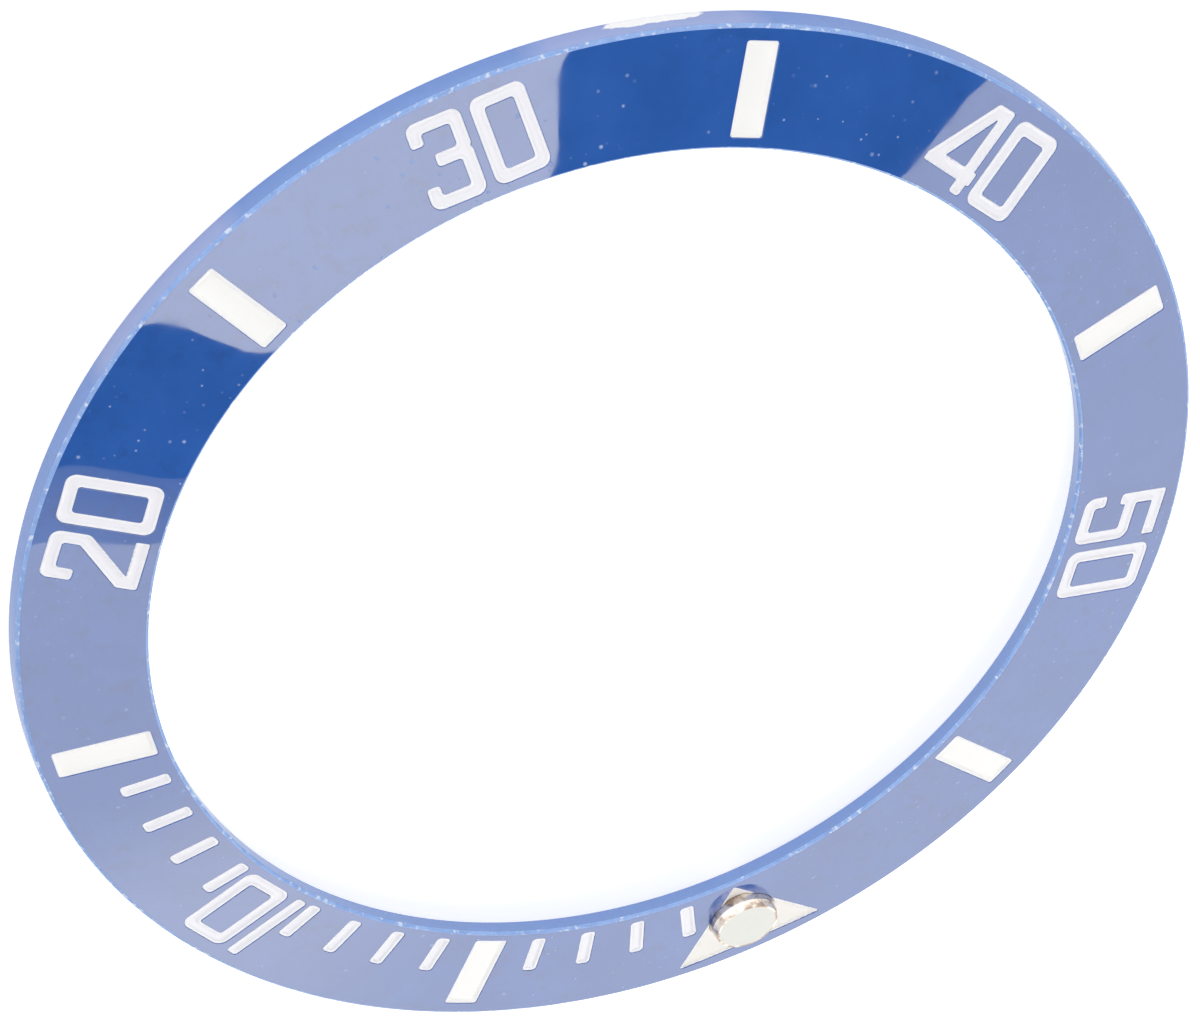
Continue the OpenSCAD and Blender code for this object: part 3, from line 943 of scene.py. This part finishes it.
def seen_rays(tree):
    """1 for rays that show a background, straight, mirrored or through glass, else 0."""
    path = tree.nodes.new("ShaderNodeLightPath")
    seen = path.outputs["Is Camera Ray"]
    for kind in ("Is Glossy Ray", "Is Transmission Ray"):
        either = tree.nodes.new("ShaderNodeMath")
        either.operation = "MAXIMUM"
        tree.links.new(seen, either.inputs[0])
        tree.links.new(path.outputs[kind], either.inputs[1])
        seen = either.outputs[0]
    return seen


def floor_plane():
    """A pale floor, lifted to white where it is seen and clear from below."""
    bpy.ops.mesh.primitive_plane_add(size=FLOOR_SIZE, location=point(0, 0, -FLOOR_GAP))
    floor = bpy.context.object
    floor.name = "floor"
    material = bpy.data.materials.new("floor")
    material.use_nodes = True
    tree = material.node_tree
    shader = tree.nodes["Principled BSDF"]
    shader.inputs["Base Color"].default_value = (FLOOR_GREY, FLOOR_GREY, FLOOR_GREY, 1)
    shader.inputs["Roughness"].default_value = FLOOR_ROUGHNESS
    shader.inputs["Specular IOR Level"].default_value = 0.0
    shader.inputs["Emission Color"].default_value = (1, 1, 1, 1)
    lift = tree.nodes.new("ShaderNodeMath")
    lift.operation = "MULTIPLY"
    lift.inputs[1].default_value = FLOOR_LIFT
    tree.links.new(seen_rays(tree), lift.inputs[0])
    tree.links.new(lift.outputs[0], shader.inputs["Emission Strength"])
    # Clear from below, so that the back of the ring can be seen
    side = tree.nodes.new("ShaderNodeNewGeometry")
    clear = tree.nodes.new("ShaderNodeBsdfTransparent")
    one_sided = tree.nodes.new("ShaderNodeMixShader")
    tree.links.new(side.outputs["Backfacing"], one_sided.inputs["Fac"])
    tree.links.new(shader.outputs["BSDF"], one_sided.inputs[1])
    tree.links.new(clear.outputs["BSDF"], one_sided.inputs[2])
    tree.links.new(one_sided.outputs["Shader"], tree.nodes["Material Output"].inputs["Surface"])
    floor.data.materials.append(material)


def lamps():
    """The panels, which the face mirrors, and the two bands of the fill."""
    softbox("back_wall", [(x, WALL_Y, z) for x, z in WALL_SHAPE], WALL_LEVEL, hot=WALL_HOT)
    softbox("side_card", [(x, WALL_Y + CARD_GAP, z) for x, z in CARD_SHAPE], CARD_LEVEL,
            hot=CARD_HOT)
    softbox("dark_flag", FLAG_SHAPE, FLAG_LEVEL)
    turn = Matrix.Rotation(OVERHEAD_TURN, 3, "Z")
    left, right = OVERHEAD_SPAN
    near, far = OVERHEAD_EDGE - OVERHEAD_DEPTH, OVERHEAD_EDGE
    corners = [(left, far), (right, far), (right, near), (left, near)]
    softbox("overhead", [turn @ Vector((x, y, OVERHEAD_Z)) for x, y in corners], OVERHEAD_LEVEL)
    faces = [(2 * k, 2 * k + 2, 2 * k + 3, 2 * k + 1) for k in range(FILL_STEPS)]
    for name, (reach, tilt, low, high, level) in FILL_BANDS.items():
        corners = []
        for k in range(FILL_STEPS + 1):
            a = reach * (2 * k / FILL_STEPS - 1)
            foot = (FILL_R * math.sin(a), -FILL_R * math.cos(a))
            corners += [Matrix.Rotation(tilt, 3, "X") @ Vector((*foot, z)) for z in (low, high)]
        softbox(name, corners, level, faces)


def surroundings():
    """A background that shows white and lights only a little."""
    world = bpy.data.worlds.new("studio")
    bpy.context.scene.world = world
    world.use_nodes = True
    tree = world.node_tree
    background = tree.nodes["Background"]
    level = tree.nodes.new("ShaderNodeMapRange")
    level.inputs["To Min"].default_value = WORLD_LEVEL
    level.inputs["To Max"].default_value = 1.0
    tree.links.new(seen_rays(tree), level.inputs["Value"])
    tree.links.new(level.outputs["Result"], background.inputs["Strength"])
    background.inputs["Color"].default_value = (1, 1, 1, 1)


# Camera, read from the two ellipses and the marks in the photograph, in degrees and millimetres
AZIMUTH = 6.558
ELEVATION = 47.121
ROLL = 152.147
DISTANCE = 542.5
LENS = 530.27
SENSOR_W = 36
LOOK_AT = (0.052, -0.417, 0.5)
# Nearest and farthest that it sees, in metres
CLIP = (0.01, 10)


def camera():
    a, e = math.radians(AZIMUTH), math.radians(ELEVATION)
    back = Vector((math.sin(a) * math.cos(e), -math.cos(a) * math.cos(e), math.sin(e)))
    data = bpy.data.cameras.new("camera")
    data.sensor_width = SENSOR_W
    data.lens = LENS
    data.clip_start, data.clip_end = CLIP
    eye = bpy.data.objects.new("camera", data)
    bpy.context.scene.collection.objects.link(eye)
    level = (-back).to_track_quat("-Z", "Y").to_matrix()
    roll = Matrix.Rotation(math.radians(ROLL), 3, back)
    eye.matrix_world = (roll @ level).to_4x4()
    eye.location = point(*LOOK_AT) + back * DISTANCE * MM
    bpy.context.scene.camera = eye


def object_pieces():
    all_marks = marks()
    fine_ring(all_marks, [glazed_ceramic(), ground_edge(), bare_back(), ground_wall()])
    # The floors of the narrow marks and of the triangle are painted greyer than their lips, as
    # painted shade in their troughs; the bars' floors are about as white as the lips
    lip = white_fill("white_lip", srgb(242, 244, 251), srgb(245, 246, 253))
    floors = {
        "minute_bar": white_fill("bar_floor", srgb(244, 245, 247), srgb(246, 247, 249)),
        "triangle": white_fill("triangle_floor", srgb(236, 235, 234), srgb(242, 241, 241)),
    }
    narrow = white_fill("narrow_floor", srgb(236, 237, 247), srgb(239, 240, 249))
    for mark in all_marks:
        kind = mark[0][0].rsplit("_", 1)[0]
        piece = inlay(mark, [lip, floors.get(kind, narrow)])
        if kind == "triangle":
            cut_pearl_hole(piece)
    pearl_cup(polished_steel())
    pearl_lume(lume())


object_pieces()
floor_plane()
lamps()
surroundings()
camera()
bpy.context.scene.view_settings.view_transform = "Standard"
